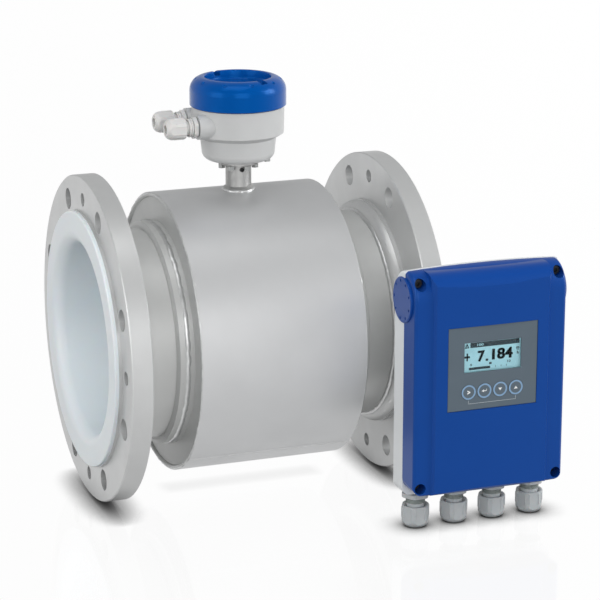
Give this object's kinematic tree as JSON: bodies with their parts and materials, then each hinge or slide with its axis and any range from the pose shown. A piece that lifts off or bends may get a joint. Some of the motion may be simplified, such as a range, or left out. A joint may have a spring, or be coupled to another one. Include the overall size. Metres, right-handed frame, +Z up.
{
  "type": "electromagnetic flow meter",
  "caption": "Remote electromagnetic flow meter: a lined, flanged pipe sensor with a round terminal box on a neck, and a separate wall-type converter with display, keys and cable glands.",
  "frame": {"origin": "on the pipe axis, at the middle of the sensor's build length", "axes": "+X along the pipe from the inlet to the outlet, +Z up through the neck and terminal box, the converter and its display face -Y"},
  "size_m": [0.4466, 0.406, 0.4393],
  "materials": {
    "pipe_steel": "satin",
    "housing_steel": "satin",
    "liner_white": "satin",
    "copper_winding": "satin",
    "core_iron": "satin",
    "electrode_alloy": "polished",
    "white_plastic": "satin",
    "bright_steel": "satin",
    "black_rubber": "matte",
    "grey_enamel": "satin",
    "blue_enamel": "gloss",
    "board_green": "gloss",
    "terminal_grey": "matte",
    "black_plastic": "matte",
    "blue_housing": "satin",
    "white_enamel": "satin",
    "fascia_grey": "satin",
    "clear_window": "polished",
    "display_pane": "gloss",
    "key_blue": "satin",
    "gland_grey": "satin",
    "seal_beige": "matte"
  },
  "bodies": {
    "meter": {"converter_gland_1_body": "gland_grey", "converter_gland_2_body": "gland_grey", "converter_gland_3_body": "gland_grey", "converter_gland_4_body": "gland_grey", "converter_terminals": "terminal_grey", "cover_gasket": "black_rubber", "cover_screws": "bright_steel", "display_board": "board_green", "display_module": "display_pane", "display_window": "clear_window", "earth_screw": "bright_steel", "electrode_insulators": "white_plastic", "electrode_nuts": "bright_steel", "fascia": "fascia_grey", "front_cover": "blue_housing", "front_electrode": "electrode_alloy", "front_gland_body": "gland_grey", "gland_face_seals": "black_rubber", "housing_shell": "housing_steel", "inlet_end_plate": "pipe_steel", "inlet_flange": "pipe_steel", "liner": "liner_white", "lower_coil": "copper_winding", "lower_pole_core": "core_iron", "main_board": "board_green", "measuring_tube": "pipe_steel", "neck": "pipe_steel", "neck_bolts": "bright_steel", "neck_gasket": "black_rubber", "outlet_end_plate": "pipe_steel", "outlet_flange": "pipe_steel", "power_module": "black_plastic", "rear_electrode": "electrode_alloy", "rear_gland_body": "gland_grey", "rear_housing": "white_enamel", "return_yoke": "core_iron", "terminal_board": "board_green", "terminal_box": "grey_enamel", "terminal_strips": "terminal_grey", "upper_coil": "copper_winding", "upper_pole_core": "core_iron"},
    "lid_ring": {"lid_gasket": "black_rubber"},
    "lid": {"terminal_box_lid": "blue_enamel"},
    "key_1": {"key_1": "key_blue"},
    "key_2": {"key_2": "key_blue"},
    "key_3": {"key_3": "key_blue"},
    "key_4": {"key_4": "key_blue"},
    "front_gland_insert": {"front_gland_insert": "seal_beige"},
    "front_gland_nut": {"front_gland_nut": "gland_grey"},
    "rear_gland_insert": {"rear_gland_insert": "seal_beige"},
    "rear_gland_nut": {"rear_gland_nut": "gland_grey"},
    "converter_gland_1_insert": {"converter_gland_1_insert": "seal_beige"},
    "converter_gland_1_nut": {"converter_gland_1_nut": "gland_grey"},
    "converter_gland_2_insert": {"converter_gland_2_insert": "seal_beige"},
    "converter_gland_2_nut": {"converter_gland_2_nut": "gland_grey"},
    "converter_gland_3_insert": {"converter_gland_3_insert": "seal_beige"},
    "converter_gland_3_nut": {"converter_gland_3_nut": "gland_grey"},
    "converter_gland_4_insert": {"converter_gland_4_insert": "seal_beige"},
    "converter_gland_4_nut": {"converter_gland_4_nut": "gland_grey"}
  },
  "joints": [
    {"name": "lid_rise", "type": "slide", "parent": "meter", "child": "lid_ring", "axis": [0, 0, 1], "range_m": [0, 0.01]},
    {"name": "lid_turn", "type": "hinge", "parent": "lid_ring", "child": "lid", "pos_m": [0, 0, 0.25], "axis": [0, 0, 1], "range_deg": [0, 1800]},
    {"name": "key_1_press", "type": "slide", "parent": "meter", "child": "key_1", "axis": [0, 1, 0], "range_m": [0, 0.0008], "stiffness_N_per_m": 1500, "springref_m": -0.0006},
    {"name": "key_2_press", "type": "slide", "parent": "meter", "child": "key_2", "axis": [0, 1, 0], "range_m": [0, 0.0008], "stiffness_N_per_m": 1500, "springref_m": -0.0006},
    {"name": "key_3_press", "type": "slide", "parent": "meter", "child": "key_3", "axis": [0, 1, 0], "range_m": [0, 0.0008], "stiffness_N_per_m": 1500, "springref_m": -0.0006},
    {"name": "key_4_press", "type": "slide", "parent": "meter", "child": "key_4", "axis": [0, 1, 0], "range_m": [0, 0.0008], "stiffness_N_per_m": 1500, "springref_m": -0.0006},
    {"name": "front_gland_press", "type": "slide", "parent": "meter", "child": "front_gland_insert", "axis": [1, 0, 0], "range_m": [0, 0.003]},
    {"name": "front_gland_turn", "type": "hinge", "parent": "front_gland_insert", "child": "front_gland_nut", "pos_m": [-0.051, -0.0199, 0.218], "axis": [1, 0, 0], "range_deg": [0, 720]},
    {"name": "rear_gland_press", "type": "slide", "parent": "meter", "child": "rear_gland_insert", "axis": [1, 0, 0], "range_m": [0, 0.003]},
    {"name": "rear_gland_turn", "type": "hinge", "parent": "rear_gland_insert", "child": "rear_gland_nut", "pos_m": [-0.051, 0.0199, 0.218], "axis": [1, 0, 0], "range_deg": [0, 720]},
    {"name": "converter_gland_1_press", "type": "slide", "parent": "meter", "child": "converter_gland_1_insert", "axis": [0, 0, 1], "range_m": [0, 0.003]},
    {"name": "converter_gland_1_turn", "type": "hinge", "parent": "converter_gland_1_insert", "child": "converter_gland_1_nut", "pos_m": [0.1227, -0.1928, -0.137], "axis": [0, 0, 1], "range_deg": [0, 720]},
    {"name": "converter_gland_2_press", "type": "slide", "parent": "meter", "child": "converter_gland_2_insert", "axis": [0, 0, 1], "range_m": [0, 0.003]},
    {"name": "converter_gland_2_turn", "type": "hinge", "parent": "converter_gland_2_insert", "child": "converter_gland_2_nut", "pos_m": [0.1653, -0.1928, -0.137], "axis": [0, 0, 1], "range_deg": [0, 720]},
    {"name": "converter_gland_3_press", "type": "slide", "parent": "meter", "child": "converter_gland_3_insert", "axis": [0, 0, 1], "range_m": [0, 0.003]},
    {"name": "converter_gland_3_turn", "type": "hinge", "parent": "converter_gland_3_insert", "child": "converter_gland_3_nut", "pos_m": [0.2079, -0.1928, -0.137], "axis": [0, 0, 1], "range_deg": [0, 720]},
    {"name": "converter_gland_4_press", "type": "slide", "parent": "meter", "child": "converter_gland_4_insert", "axis": [0, 0, 1], "range_m": [0, 0.003]},
    {"name": "converter_gland_4_turn", "type": "hinge", "parent": "converter_gland_4_insert", "child": "converter_gland_4_nut", "pos_m": [0.2505, -0.1928, -0.137], "axis": [0, 0, 1], "range_deg": [0, 720]}
  ],
  "couplings": [
    {"joint": "lid_rise", "follows": "lid_turn", "m_per_rad": 0.00031831},
    {"joint": "front_gland_press", "follows": "front_gland_turn", "m_per_rad": 0.00023873},
    {"joint": "rear_gland_press", "follows": "rear_gland_turn", "m_per_rad": 0.00023873},
    {"joint": "converter_gland_1_press", "follows": "converter_gland_1_turn", "m_per_rad": 0.00023873},
    {"joint": "converter_gland_2_press", "follows": "converter_gland_2_turn", "m_per_rad": 0.00023873},
    {"joint": "converter_gland_3_press", "follows": "converter_gland_3_turn", "m_per_rad": 0.00023873},
    {"joint": "converter_gland_4_press", "follows": "converter_gland_4_turn", "m_per_rad": 0.00023873}
  ]
}
